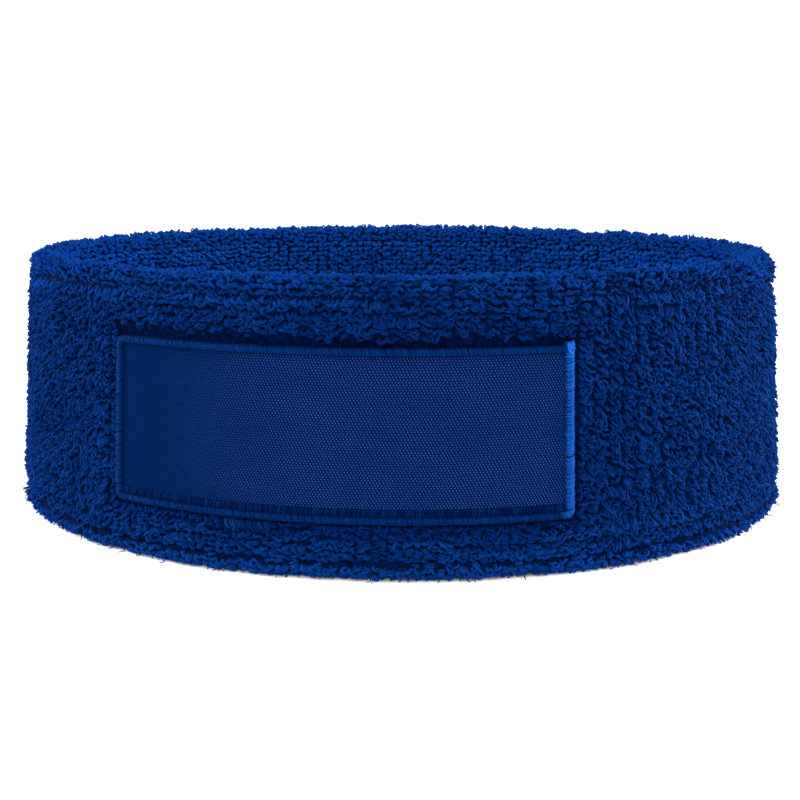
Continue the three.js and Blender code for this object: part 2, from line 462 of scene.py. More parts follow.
class SoftField:
    """A smooth random field over the unrolled band, which closes on itself around it."""

    def __init__(self, seed: int, around: int, up: int) -> None:
        """Draw the field's knots.

        Args:
            seed: The random seed.
            around: How many knots there are around the band.
            up: How many there are from edge to edge of the cloth.
        """
        self.knots = np.random.default_rng(seed).uniform(-1, 1, (around, up + 2))
        self.around = around
        self.up = up

    def __call__(self, turn: np.ndarray, height: np.ndarray) -> np.ndarray:
        """Read the field.

        Args:
            turn: The place around the band, in turns.
            height: The place across the cloth, 0 to 1.

        Returns:
            Values from about -1 to 1.
        """
        a = (turn % 1.0) * self.around
        b = np.clip(height, 0, 1) * self.up
        i = np.floor(a).astype(int)
        j = np.minimum(np.floor(b).astype(int), self.up - 1)
        return blend_grid(self.knots, i, j, smooth_step(a - i, 0, 1), smooth_step(b - j, 0, 1))


@dataclass
class Mesh:
    """Plain arrays of a mesh, in millimetres, on their way to Blender."""

    points: np.ndarray
    corners: np.ndarray
    starts: np.ndarray
    pattern: np.ndarray

    def joined(self, other: "Mesh") -> "Mesh":
        """Return both meshes as one."""
        return Mesh(
            np.concatenate([self.points, other.points]),
            np.concatenate([self.corners, other.corners + len(self.points)]),
            np.concatenate([self.starts, other.starts + len(self.corners)]),
            np.concatenate([self.pattern, other.pattern]),
        )

    def build(self, name: str, material: bpy.types.Material) -> bpy.types.Object:
        """Make the Blender object, smooth shaded, with its pattern map.

        Args:
            name: The piece's name.
            material: Its finish.

        Returns:
            The object.
        """
        data = bpy.data.meshes.new(name)
        data.vertices.add(len(self.points))
        data.vertices.foreach_set("co", (self.points * MM).astype(np.float32).ravel())
        data.loops.add(len(self.corners))
        data.loops.foreach_set("vertex_index", self.corners.astype(np.int32))
        data.polygons.add(len(self.starts))
        data.polygons.foreach_set("loop_start", self.starts.astype(np.int32))
        layer = data.uv_layers.new(name=PATTERN_MAP)
        layer.uv.foreach_set("vector", self.pattern.astype(np.float32).ravel())
        data.update(calc_edges=True)
        data.validate()
        data.shade_smooth()
        data.materials.append(material)
        piece = bpy.data.objects.new(name, data)
        bpy.context.scene.collection.objects.link(piece)
        return piece


def skin(points: np.ndarray, pattern: np.ndarray, closed: bool) -> Mesh:
    """Lay quads over a grid of points.

    Args:
        points: Rows around, columns across, and x, y, z in millimetres.
        pattern: Each point's place in the pattern map, with one more row than points if closed.
        closed: Whether the last row joins the first.

    Returns:
        The open sheet's mesh.
    """
    rows, columns = points.shape[:2]
    i, j = np.meshgrid(np.arange(rows if closed else rows - 1), np.arange(columns - 1), indexing="ij")
    i, j = i.ravel(), j.ravel()
    square = np.stack([(i, j), (i + 1, j), (i + 1, j + 1), (i, j + 1)])
    corners = (square[:, 0] % rows * columns + square[:, 1]).T.ravel()
    mapped = pattern[square[:, 0], square[:, 1]].transpose(1, 0, 2).reshape(-1, 2)
    return Mesh(points.reshape(-1, 3), corners, np.arange(len(i)) * 4, mapped)


def thicken(piece: bpy.types.Object, thickness_mm: float, offset: float) -> None:
    """Give a sheet its thickness with Solidify, and apply it.

    Args:
        piece: The sheet.
        thickness_mm: How thick it gets.
        offset: -1 grows inwards, 1 outwards and 0 both ways.
    """
    deselect_all()
    piece.select_set(True)
    bpy.context.view_layer.objects.active = piece
    wall = piece.modifiers.new("thickness", "SOLIDIFY")
    wall.thickness = thickness_mm * MM
    wall.offset = offset
    wall.use_even_offset = True
    bpy.ops.object.modifier_apply(modifier=wall.name)
    piece.data.shade_smooth()


class Strand:
    """A short length of yarn: modelled once as a straight tube, then copied and bent to each path.

    In the pattern map, each shade has a column with a margin at both sides, and the tube's two ends
    have a band of their own below and above its side.
    """

    MARGIN = 0.08
    END_BAND = 0.04
    OFF_AXIS = (0.36, 0.48, 0.8)

    def __init__(self, sides: int, spans: int) -> None:
        """Model the straight tube by extruding its round end.

        Args:
            sides: How many sides the yarn's section has.
            spans: How many straight spans follow the path.
        """
        deselect_all()
        bpy.ops.mesh.primitive_circle_add(vertices=sides, radius=1.0, fill_type="NGON")
        tube = bpy.context.object
        bpy.ops.object.mode_set(mode="EDIT")
        bpy.ops.mesh.select_all(action="SELECT")
        for _ in range(spans):
            bpy.ops.mesh.extrude_region_move(TRANSFORM_OT_translate={"value": (0, 0, 1 / spans)})
        bpy.ops.mesh.select_all(action="SELECT")
        bpy.ops.mesh.normals_make_consistent(inside=False)
        bpy.ops.object.mode_set(mode="OBJECT")
        data = tube.data
        points = np.array([vertex.co for vertex in data.vertices])
        self.across = points[:, :2]
        self.level = np.rint(points[:, 2] * spans).astype(int)
        self.corners = np.array([loop.vertex_index for loop in data.loops])
        self.starts = np.array([face.loop_start for face in data.polygons])
        self.pattern = self._unroll(data)
        self.spans = spans
        bpy.data.objects.remove(tube)
        bpy.data.meshes.remove(data)

    def _unroll(self, data: bpy.types.Mesh) -> np.ndarray:
        """Return each corner's place around and along the yarn, 0 to 1, with its ends kept open."""
        pattern = np.zeros((len(data.loops), 2))
        for face in data.polygons:
            middle = math.atan2(face.center.y, face.center.x)
            for corner in face.loop_indices:
                x, y, z = data.vertices[data.loops[corner].vertex_index].co
                if abs(face.normal.z) > 0.5:
                    pattern[corner] = (0.5 + 0.2 * x, (1 - self.END_BAND) * z + self.END_BAND * (1 + y) / 2)
                    continue
                away = (math.atan2(y, x) - middle + math.pi) % TURN - math.pi
                up = self.END_BAND + (1 - 2 * self.END_BAND) * z
                pattern[corner] = ((middle + away) / TURN + 0.5, up)
        return pattern

    def copies(self, paths: np.ndarray, radii: np.ndarray, shades: np.ndarray, taper: float = 1.0) -> Mesh:
        """Bend a copy along each path.

        Args:
            paths: Copies, points and x, y, z in millimetres, with one more point than spans.
            radii: Each copy's radius in millimetres.
            shades: Each copy's shade, 0 dark to 1 light.
            taper: The share of the radius left at the far end.

        Returns:
            All the copies as one mesh.
        """
        count = len(paths)
        along = np.gradient(paths, axis=1)
        along /= np.linalg.norm(along, axis=2, keepdims=True) + 1e-9
        middle = paths[:, self.spans // 2]
        plane = np.cross(middle - paths[:, 0], paths[:, -1] - middle)
        plane += 1e-5 * np.cross(along[:, 0], self.OFF_AXIS)
        side = plane[:, None] - np.sum(plane[:, None] * along, axis=2, keepdims=True) * along
        side /= np.linalg.norm(side, axis=2, keepdims=True) + 1e-12
        other = np.cross(along, side)
        thin = 1 + (taper - 1) * self.level / self.spans
        reach = radii[:, None, None] * thin[None, :, None]
        points = paths[:, self.level] + reach * (
            side[:, self.level] * self.across[None, :, :1] + other[:, self.level] * self.across[None, :, 1:]
        )
        order = np.arange(count)[:, None]
        corners = (self.corners[None] + order * len(self.across)).ravel()
        starts = (self.starts[None] + order * len(self.corners)).ravel()
        column = np.clip((shades * SHADES).astype(int), 0, SHADES - 1)
        pattern = np.empty((count, len(self.corners), 2))
        inside = self.MARGIN + (1 - 2 * self.MARGIN) * self.pattern[None, :, 0]
        pattern[..., 0] = (column[:, None] + inside) / SHADES
        pattern[..., 1] = self.pattern[None, :, 1]
        return Mesh(points.reshape(-1, 3), corners, starts, pattern.reshape(-1, 2))


# ---------------------------------------------------------------- the wall's shape


class WallForm:
    """The band's oval wall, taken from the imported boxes: it leans out towards its hem.

    A place on it is an angle around the band, an offset out from the middle of the wall, and a
    height, all in millimetres but the angle.
    """

    def __init__(self, hem_rounding: float = 1.0, pile_depth: float = 1.0, samples: int = 4097) -> None:
        """Read the wall's sizes from the boxes of the fold and the hem.

        Args:
            hem_rounding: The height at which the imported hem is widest.
            pile_depth: How deep in the pile the way around is measured.
            samples: How many points it is measured over.
        """
        fold_low, fold_high = (np.array(corner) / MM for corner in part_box(Zone.FOLD.value))
        _, hem_high = (np.array(corner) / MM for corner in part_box(Zone.HEM.value))
        self.height = fold_high[2]
        self.fold_centre = fold_low[2]
        self.half_wall = fold_high[2] - fold_low[2]
        self.slope = (hem_high[0] - fold_high[0]) / (self.fold_centre - hem_rounding)
        self.half_length = fold_high[0] - self.slope * self.half_wall
        self.half_depth = fold_high[1] - self.slope * self.half_wall
        angles = np.linspace(0, TURN, samples)
        ring = self.place(angles, self.half_wall - pile_depth, self.height / 2)
        steps = np.linalg.norm(np.diff(ring, axis=0), axis=1)
        self._arcs = np.concatenate([[0], np.cumsum(steps)])
        self._angles = angles
        self.girth = self._arcs[-1]

    def place(self, angle: np.ndarray, offset: np.ndarray | float, z: np.ndarray | float) -> np.ndarray:
        """Find points of the wall.

        Args:
            angle: The angle around the band.
            offset: How far out from the wall's middle, in millimetres.
            z: The height, in millimetres.

        Returns:
            x, y, z in millimetres.
        """
        out = offset - self.half_wall + self.slope * (self.height - z)
        cosine, sine = np.cos(angle), np.sin(angle)
        share = out / np.hypot(self.half_length * sine, self.half_depth * cosine)
        x = (self.half_length + self.half_depth * share) * cosine
        y = (self.half_depth + self.half_length * share) * sine
        return np.stack([x, y, z + 0 * x], axis=-1)

    def angle(self, turn: np.ndarray) -> np.ndarray:
        """Return the angle at an even share of the way around, in turns."""
        whole = np.floor(turn)
        return np.interp((turn - whole) * self.girth, self._arcs, self._angles) + whole * TURN

    def turn(self, angle: np.ndarray) -> np.ndarray:
        """Return how far around an angle is, in turns of even length."""
        return np.interp(angle % TURN, self._angles, self._arcs) / self.girth


class Section:
    """The folded cloth's line in the cut wall, from its outer raw edge over the fold to its inner one."""

    OUTER_HALF = [
        (0.7, 1.0),
        (1.5, 0.9),
        (2.1, 1.25),
        (2.25, 1.8),
        (1.9, 2.5),
        (1.0, 3.2),
        (1.9, 4.0),
        (2.35, 5.2),
        (2.25, 15.0),
        (2.25, 35.0),
        (2.25, 45.0),
    ]

    def __init__(
        self,
        form: WallForm,
        fold_radius: float = 2.25,
        step: float = 0.1,
        softness: float = 3.5,
        reach: int = 9,
    ) -> None:
        """Trace the line.

        Args:
            form: The wall.
            fold_radius: The cloth's radius at the fold.
            step: How finely the line is followed.
            softness: How far its corners are rounded, in steps.
            reach: How many steps to each side the rounding takes in.
        """
        fold = [
            (fold_radius * math.cos(a), form.fold_centre + fold_radius * math.sin(a))
            for a in np.linspace(0, math.pi, 25)
        ]
        inner_half = [(-offset, z) for offset, z in reversed(self.OUTER_HALF)]
        line = np.array([*self.OUTER_HALF, *fold, *inner_half])
        lengths = np.concatenate([[0], np.cumsum(np.linalg.norm(np.diff(line, axis=0), axis=1))])
        self.s = np.arange(0, lengths[-1], step)
        raw = np.stack([np.interp(self.s, lengths, line[:, k]) for k in (0, 1)], axis=1)
        weights = np.exp(-0.5 * (np.arange(-reach, reach + 1) / softness) ** 2)
        weights /= weights.sum()
        padded = np.pad(raw, ((reach, reach), (0, 0)), mode="edge")
        self.line = np.stack([np.convolve(padded[:, k], weights, mode="valid") for k in (0, 1)], axis=1)
        along = np.gradient(self.line, axis=0)
        along /= np.linalg.norm(along, axis=1, keepdims=True)
        self.out = np.stack([along[:, 1], -along[:, 0]], axis=1)
        self.length = self.s[-1]

    def at(self, s: np.ndarray, lift: np.ndarray | float) -> tuple[np.ndarray, np.ndarray]:
        """Return the offset and height of places along the line, lifted off it."""
        place = [np.interp(s, self.s, self.line[:, k]) for k in (0, 1)]
        away = [lift * np.interp(s, self.s, self.out[:, k]) for k in (0, 1)]
        return place[0] + away[0], place[1] + away[1]

    def rows(self, pitch: float, lift: float) -> np.ndarray:
        """Space rows evenly where the pile is, not at its roots.

        Args:
            pitch: How far apart the rows are.
            lift: The height above the line at which that is measured.

        Returns:
            Each row's place along the line.
        """
        offset, z = self.at(self.s, lift)
        steps = np.hypot(np.diff(offset), np.diff(z))
        lengths = np.concatenate([[0], np.cumsum(steps)])
        count = int(round(lengths[-1] / pitch))
        return np.interp((np.arange(count) + 0.5) / count * lengths[-1], lengths, self.s)


@dataclass
class LabelField:
    """Where the label lies on the band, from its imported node."""

    form: WallForm
    depth: float = -0.9
    samples: int = 4001
    left: float = field(init=False)
    right: float = field(init=False)
    bottom: float = field(init=False)
    top: float = field(init=False)
    width: float = field(init=False)

    def __post_init__(self) -> None:
        """Find the label's edges: its two sides by angle, its bottom and top by height."""
        low, high = (np.array(corner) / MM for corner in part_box("label_panel"))
        self.bottom, self.top = low[2], high[2]
        angles = np.linspace(math.pi, TURN, self.samples)
        across = self.form.place(angles, self.form.half_wall + self.depth, self.bottom)[:, 0]
        self.left = float(self.form.turn(np.interp(low[0], across, angles)))
        self.right = float(self.form.turn(np.interp(high[0], across, angles)))
        self.width = (self.right - self.left) * self.form.girth

    @property
    def height(self) -> float:
        """The label's height in millimetres."""
        return self.top - self.bottom

    def outside(self, turn: np.ndarray, z: np.ndarray) -> tuple[np.ndarray, np.ndarray]:
        """Return how far places lie beyond the label's sides and its top or bottom, in millimetres."""
        beside = np.maximum(self.left - turn, turn - self.right) * self.form.girth
        above = np.maximum(self.bottom - z, z - self.top)
        return beside, above

    def place(self, x: np.ndarray, y: np.ndarray, depth: np.ndarray) -> np.ndarray:
        """Find points on the label.

        Args:
            x: Millimetres from its left side.
            y: Millimetres from its bottom.
            depth: Millimetres out from the terry's face.

        Returns:
            x, y, z in millimetres.
        """
        turn = self.left + x / self.form.girth
        return self.form.place(self.form.angle(turn), self.form.half_wall + depth, self.bottom + y)


@dataclass
class ClothPull:
    """How the stretched outer wall settles: held at its fold and hem, and pinned flat by the label.

    The wall is simulated as cloth at ten times its size, with a little spare width that buckles
    beside the label's stiff frame, as elastic cloth does round a stitched patch.
    """

    form: WallForm
    section: Section
    label: LabelField
    columns: int = 190
    rows: int = 25
    low: float = 4.2
    high: float = 46.0
    scale: float = 10.0
    frames: int = 20
    pressure: float = 0.15
    spare: float = -0.008
    held_margin: float = 0.6
    most: float = 0.7

    def run(self) -> tuple[np.ndarray, np.ndarray]:
        """Simulate the wall, and measure how far it moved out.

        Returns:
            The lift in millimetres over a grid, and the grid's places along the section.
        """
        outer = self.section.line[:, 0] > 0
        along = np.interp([self.low, self.high], self.section.line[outer, 1], self.section.s[outer])
        turns = np.linspace(0, 1, self.columns, endpoint=False)
        places = np.linspace(along[0], along[1], self.rows)
        turn, s = np.meshgrid(turns, places, indexing="ij")
        offset, z = self.section.at(s, 0.0)
        angle = self.form.angle(turn)
        rest = self.form.place(angle, offset, z)
        out = self.form.place(angle, offset + 1.0, z) - rest
        out /= np.linalg.norm(out, axis=-1, keepdims=True)
        pattern = np.zeros((self.columns + 1, self.rows, 2))
        plain = bpy.data.materials.new("plain")
        wall = skin(rest * self.scale, pattern, closed=True).build("pulled_wall", plain)
        beside, above = self.label.outside(turn, z)
        held = (np.maximum(beside, above) < self.held_margin) | (s <= places[0]) | (s >= places[-1])
        wall.vertex_groups.new(name="held").add(np.flatnonzero(held).tolist(), 1.0, "REPLACE")
        cloth = wall.modifiers.new("cloth", "CLOTH")
        settings = cloth.settings
        settings.vertex_group_mass = "held"
        settings.quality = 6
        settings.mass = 0.2
        settings.tension_stiffness = 8
        settings.compression_stiffness = 8
        settings.shear_stiffness = 3
        settings.bending_stiffness = 0.3
        settings.use_pressure = True
        settings.uniform_pressure_force = self.pressure
        settings.shrink_min = self.spare
        settings.effector_weights.gravity = 0.0
        cloth.collision_settings.use_collision = False
        scene = bpy.context.scene
        for step in range(1, self.frames + 1):
            scene.frame_set(step)
        settled = wall.evaluated_get(bpy.context.evaluated_depsgraph_get()).data
        points = np.empty(len(settled.vertices) * 3, np.float32)
        settled.vertices.foreach_get("co", points)
        scene.frame_set(1)
        moved = points.reshape(rest.shape) / MM / self.scale - rest
        bpy.data.objects.remove(wall)
        lift = np.sum(moved * out, axis=-1)
        for axis in (0, 1, 0, 1):
            lift = 0.5 * lift + 0.25 * (np.roll(lift, 1, axis) + np.roll(lift, -1, axis))
        free = lift[~held]
        LOG.info("cloth settled: %.2f to %.2f mm, %.2f on average", lift.min(), lift.max(), free.mean())
        return np.clip(lift - np.median(free), -self.most, self.most), places


@dataclass
class Relief:
    """The slow hills and creases that both the cloth and its loops follow, pressed flat under the label.

    The frame's stitching raises a low ridge in the cloth round the label.
    """

    label: LabelField
    length: float
    pull: ClothPull
    hill: float = 0.2
    ripple: float = 0.13
    crease: float = 0.12
    ridge: float = 0.25
    ridge_away: float = 3.0
    ridge_spread: float = 2.0
    pressed_by: float = -0.6
    free_by: float = 1.6
    pressed_depth: float = 1.1

    def __post_init__(self) -> None:
        """Let the wall settle, and draw the random fields."""
        self.settled, self.places = self.pull.run()
        self.waves = (
            (self.hill, SoftField(11, 36, 9)),
            (self.ripple, SoftField(12, 90, 40)),
            (self.crease, SoftField(13, 26, 60)),
        )

    def __call__(self, turn: np.ndarray, s: np.ndarray, z: np.ndarray, offset: np.ndarray) -> np.ndarray:
        """Return how far places are lifted, in millimetres.

        Args:
            turn: The places around the band, in turns.
            s: The places along the section.
            z: Their heights.
            offset: Their offsets out from the wall's middle.

        Returns:
            The lift, in millimetres.
        """
        free = sum(height * wave(turn, s / self.length) for height, wave in self.waves)
        beside, above = self.label.outside(turn, z)
        away = np.where(offset > 0, np.maximum(beside, above), np.inf)
        free = free + self._settled_at(turn, s) * (offset > 0)
        free = free + self.ridge * np.exp(-(((away - self.ridge_away) / self.ridge_spread) ** 2))
        pressed = smooth_step(away, self.free_by, self.pressed_by)
        return free * (1 - pressed) - self.pressed_depth * pressed

    def _settled_at(self, turn: np.ndarray, s: np.ndarray) -> np.ndarray:
        """Read the settled wall's lift between its grid's points, fading out past its edges."""
        columns, rows = self.settled.shape
        a = (turn % 1.0) * columns
        b = (s - self.places[0]) / (self.places[-1] - self.places[0]) * (rows - 1)
        inside = smooth_step(b, -1.0, 1.0) * smooth_step(b, rows, rows - 2)
        b = np.clip(b, 0, rows - 1.001)
        i, j = np.floor(a).astype(int), np.floor(b).astype(int)
        return blend_grid(self.settled, i, j, a - i, b - j) * inside


def declare(piece: bpy.types.Object, slot: str, *stands_for: str) -> bpy.types.Object:
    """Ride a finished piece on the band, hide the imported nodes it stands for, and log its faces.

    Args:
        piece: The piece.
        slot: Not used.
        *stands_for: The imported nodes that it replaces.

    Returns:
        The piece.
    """
    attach(piece, BODY)
    if stands_for:
        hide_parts(*stands_for)
    LOG.info("%s: %d faces", piece.name, len(piece.data.polygons))
    return piece


# ---------------------------------------------------------------- sub-assemblies


@dataclass
class Band:
    """What every piece of the band is fitted to: its wall, its folded section and its relief."""

    form: WallForm
    section: Section
    relief: Relief

    def frames(
        self, turn: np.ndarray, s: np.ndarray, lift: np.ndarray | float
    ) -> tuple[np.ndarray, np.ndarray, np.ndarray, np.ndarray]:
        """Find points over the cloth, and the directions around, along and out of it.

        Args:
            turn: Places around the band, in turns.
            s: Places along the section.
            lift: Heights over the cloth's middle, before relief.

        Returns:
            The points, and unit vectors around the band, along the section and outward.
        """
        angle = self.form.angle(turn)
        offset, z = self.section.at(s, 0.0)
        raised = lift + self.relief(turn, s, z, offset)
        root = self.form.place(angle, *self.section.at(s, raised))
        tip = self.form.place(angle, *self.section.at(s, raised + 0.5))
        beside = self.form.place(angle + 1e-4, *self.section.at(s, raised))
        out = tip - root
        out /= np.linalg.norm(out, axis=-1, keepdims=True)
        around = beside - root
        around -= np.sum(around * out, axis=-1, keepdims=True) * out
        around /= np.linalg.norm(around, axis=-1, keepdims=True)
        return root, around, np.cross(out, around), out


@dataclass
class GroundCloth:
    """The knitted cloth that carries the loops: one tube, folded double at the top edge."""

    band: Band
    thickness: float = 0.6
    steps_around: int = 256
    steps_along: int = 84
    flat_width: float = 0.385
    flat_length: float = 0.100

    def build(self) -> bpy.types.Object:
        """Lay the cloth along the section, and thicken it."""
        turns = np.linspace(0, 1, self.steps_around, endpoint=False)
        places = np.linspace(0, self.band.section.length, self.steps_along)
        turn, s = np.meshgrid(turns, places, indexing="ij")
        points = self.band.frames(turn, s, 0.0)[0]
        pattern = np.stack(
            np.meshgrid(np.linspace(0.01, 0.99, self.steps_around + 1), places / places[-1], indexing="ij"),
            axis=-1,
        )
        finish = GroundKnitFinish(self.flat_width / MM, self.flat_length / MM).build()
        cloth = skin(points, pattern, closed=True).build("ground_cloth", finish)
        thicken(cloth, self.thickness, 0.0)
        declare(cloth, "ground_knit", "ground_knit_tube")
        return cloth


@dataclass
class LoopPile:
    """The terry's loops: tufts of fine yarn arches in wales and rows, each leaning its own way.

    A real pile has finer loops, and more of them. These are as coarse as they need to be to show.
    Sizes are in millimetres, turns in radians, and a lean is the share of a loop's height.
    """

    band: Band
    label: LabelField
    yarn: Strand
    wale: float = 1.32
    row: float = 1.12
    strands: int = 2
    root: float = 0.35
    height: float = 1.05
    width: float = 0.62
    spread: float = 0.2
    radius: float = 0.225
    clear: float = 0.5
    groove_height: float = 3.2
    skin_side_height: float = 0.55
    skin_side_thickness: float = 1.75
    sunken_share: float = 0.1
    sunken_height: float = 0.55
    creased_drop: float = 0.7
    droop: float = 0.6
    framed_reach: float = 9.0
    framed_drop: float = 0.25
    framed_width: float = 0.4
    framed_thickness: float = 0.32
    bare_beside: float = 0.65
    bare_above: float = 0.9
    bare_below: float = 0.15
    seam_bare: tuple[float, float] = (2.45, 3.75)
    hem_top: float = 2.35
    fold_lines: tuple[tuple[int, float, float, float], ...] = (
        (31, 46.3, 0.45, -0.3),
        (32, 43.9, 0.5, 0.0),
        (33, 5.9, 0.35, -0.1),
    )
    most_tufts: int = 3800
    seed: int = 41

    def _layout(self) -> tuple[np.ndarray, np.ndarray]:
        """Place each tuft's root: its turn and its place along the section."""
        wales = int(round(self.band.form.girth / self.wale / 2)) * 2
        rows = self.band.section.rows(self.row, 1.0)
        column, line = np.meshgrid(np.arange(wales), np.arange(len(rows)), indexing="ij")
        rng = np.random.default_rng(self.seed)
        pairing = SoftField(21, 16, 5)
        turn = (column + 0.5) / wales
        s = rows[line]
        pull = 0.12 * smooth_step(pairing(turn, s / self.band.section.length), -0.4, 0.5)
        pull = np.where(column % 2 == 0, pull, -pull)
        turn = turn + (pull + 0.1 * rng.standard_normal(turn.shape)) / wales
        s = s + 0.12 * rng.standard_normal(turn.shape)
        return turn.ravel() % 1.0, np.clip(s, 0.05, self.band.section.length - 0.05).ravel()

    def _framed(self, beside: np.ndarray) -> np.ndarray:
        """Return how far the label's stitching holds the pile, 1 on it and 0 well beside it."""
        return smooth_step(beside, self.framed_reach, -1.0)

    def _height_factor(self, z: np.ndarray, inner: np.ndarray) -> np.ndarray:
        """Shorten the loops in the seam's groove, round the hem and on the skin side."""
        groove = 1 - 0.4 * np.exp(-((z - self.groove_height) ** 2))
        hem = 0.55 + 0.45 * smooth_step(z, 0.9, 2.4)
        return groove * hem * np.where(inner, self.skin_side_height, 1.0)

    def _folds(self, turn: np.ndarray, z: np.ndarray) -> tuple[np.ndarray, np.ndarray]:
        """Find the lines around the band where the rows part.

        Args:
            turn: The places around.
            z: Their heights.

        Returns:
            How far above the nearest line they are, in millimetres, and how deep it is there, 0 to 1.
        """
        gap = np.full(turn.shape, np.inf)
        depth = np.zeros(turn.shape)
        middle = np.full(turn.shape, 0.5)
        for seed, level, wander, absent in self.fold_lines:
            above = z - level - wander * SoftField(seed, 18, 3)(turn, middle)
            strength = smooth_step(SoftField(seed + 10, 16, 3)(turn, middle), absent - 0.35, absent + 0.35)
            nearer = np.abs(above) < np.abs(gap)
            gap = np.where(nearer, above, gap)
            depth = np.where(nearer, strength, depth)
        return gap, depth

    def _creases(self, turn: np.ndarray, s: np.ndarray) -> np.ndarray:
        """Find where the pile parts: short lines around the band near the label, and up it elsewhere.

        Args:
            turn: The places around.
            s: The places along the section.

        Returns:
            How deep each place lies in a crease, 0 to 1.
        """
        offset, z = self.band.section.at(s, 0.0)
        share = s / self.band.section.length
        framed = self._framed(self.label.outside(turn, z)[0]) * (offset > 0)
        level = np.abs(SoftField(26, 34, 52)(turn, share))
        upright = np.abs(SoftField(27, 110, 14)(turn, share))
        present = smooth_step(SoftField(28, 20, 9)(turn, share), -0.6, 0.3)
        line = framed * np.exp(-((level / 0.2) ** 2)) + (1 - framed) * np.exp(-((upright / 0.12) ** 2))
        gap, depth = self._folds(turn, z)
        fold = depth * np.exp(-((gap / 0.55) ** 2)) * (offset > 0)
        return np.clip(np.maximum(line * (0.3 + 0.7 * present), fold), 0, 1)

    def _leans(
        self, turn: np.ndarray, s: np.ndarray, rng: np.random.Generator
    ) -> tuple[np.ndarray, np.ndarray, np.ndarray, np.ndarray]:
        """Turn and lean each tuft: towards the label beside and above it, and away from seam and folds.

        Args:
            turn: Each tuft's place around.
            s: Each tuft's place along the section.
            rng: The source of its own turn and lean.

        Returns:
            Its turn, its leans around the band and along the section, and how steady its strands are.
        """
        count = len(turn)
        offset, z = self.band.section.at(s, 0.0)
        share = s / self.band.section.length
        beside, above = self.label.outside(turn, z)
        outer = offset > 0
        near_top = np.exp(-(((z - self.label.top) / 1.6) ** 2)) * (above > 0) * (beside < 0) * outer
        near_side = np.exp(-((beside / 1.6) ** 2)) * (beside > 0) * (above < 0.5) * outer
        toward = np.sign((self.label.left + self.label.right) / 2 - turn)
        yaw = 0.4 * SoftField(22, 30, 8)(turn, share) + 0.2 * rng.standard_normal(count)
        lean_x = 0.3 * SoftField(23, 40, 10)(turn, share) + 0.2 * rng.standard_normal(count)
        lean_x += 0.35 * near_side * toward
        lean_y = -self.droop + 0.35 * SoftField(24, 34, 9)(turn, share) + 0.2 * rng.standard_normal(count)
        lean_y = np.where(outer, lean_y, -lean_y * 0.8) * smooth_step(z, 49.5, 44.0)
        lean_y = lean_y * (1 - 0.5 * near_top) - 0.3 * near_top
        over_seam = np.exp(-(((z - 4.9) / 1.2) ** 2))
        lean_y += np.where(outer, 0.65, -0.65) * over_seam
        gap, depth = self._folds(turn, z)
        lean_y += 0.75 * depth * outer * np.sign(gap) * np.exp(-((gap / 1.1) ** 2))
        return yaw, lean_x, lean_y, 1 - 0.6 * near_top

    def _paths(
        self, turn: np.ndarray, s: np.ndarray, crease: np.ndarray, rng: np.random.Generator
    ) -> np.ndarray:
        """Bend each tuft's strands.

        Args:
            turn: Each tuft's place around.
            s: Each tuft's place along the section.
            crease: How far each lies in a crease, 0 to 1.
            rng: The source of its own lean, turn and height.

        Returns:
            Each strand's path, the tufts' strands one after another.
        """
        count = len(turn)
        offset, z = self.band.section.at(s, 0.0)
        outer = offset > 0
        framed = self._framed(self.label.outside(turn, z)[0]) * outer
        yaw_tuft, lean_x_tuft, lean_y_tuft, steady = self._leans(turn, s, rng)
        height_tuft = self.height * self._height_factor(z, ~outer) * (1 + 0.1 * rng.standard_normal(count))
        sunken = rng.random(count) < self.sunken_share
        height_tuft *= (1 - self.creased_drop * crease) * np.where(sunken, self.sunken_height, 1.0)
        height_tuft *= 1 - self.framed_drop * framed

        def each(of_tuft: np.ndarray, scatter: float | np.ndarray) -> np.ndarray:
            """Give each strand its tuft's value with some of its own."""
            own = rng.standard_normal((count, self.strands))
            return (of_tuft[:, None] + scatter * own).ravel()[:, None]

        yaw = each(yaw_tuft, 0.4) * (1 - 0.45 * np.repeat(framed, self.strands)[:, None])
        lean_x = each(lean_x_tuft, 0.3)
        lean_y = each(lean_y_tuft, 0.3 * steady[:, None])
        height = each(height_tuft, 0.14)
        width = each(self.width * (1 + self.framed_width * framed), 0.11)
        shift_x = each(np.zeros(count), self.spread)
        shift_y = each(np.zeros(count), self.spread * 0.8)
        curl = width * rng.uniform(-0.4, 0.4, width.shape)
        a = np.linspace(0, math.pi, self.yarn.spans + 1)[None]
        x = -0.5 * width * np.cos(a) * (1 + 0.3 * np.sin(a))
        y = curl * np.sin(2 * a)
        rise = height * np.sin(a) ** 0.75
        turned_x = shift_x + x * np.cos(yaw) - y * np.sin(yaw) + lean_x * rise
        turned_y = shift_y + x * np.sin(yaw) + y * np.cos(yaw) + lean_y * rise
        root, around, along, out = (
            np.repeat(part, self.strands, axis=0)[:, None] for part in self.band.frames(turn, s, self.root)
        )
        points = root + turned_x[..., None] * around + turned_y[..., None] * along + rise[..., None] * out
        points[..., 2] = np.maximum(points[..., 2], self.clear)
        return points

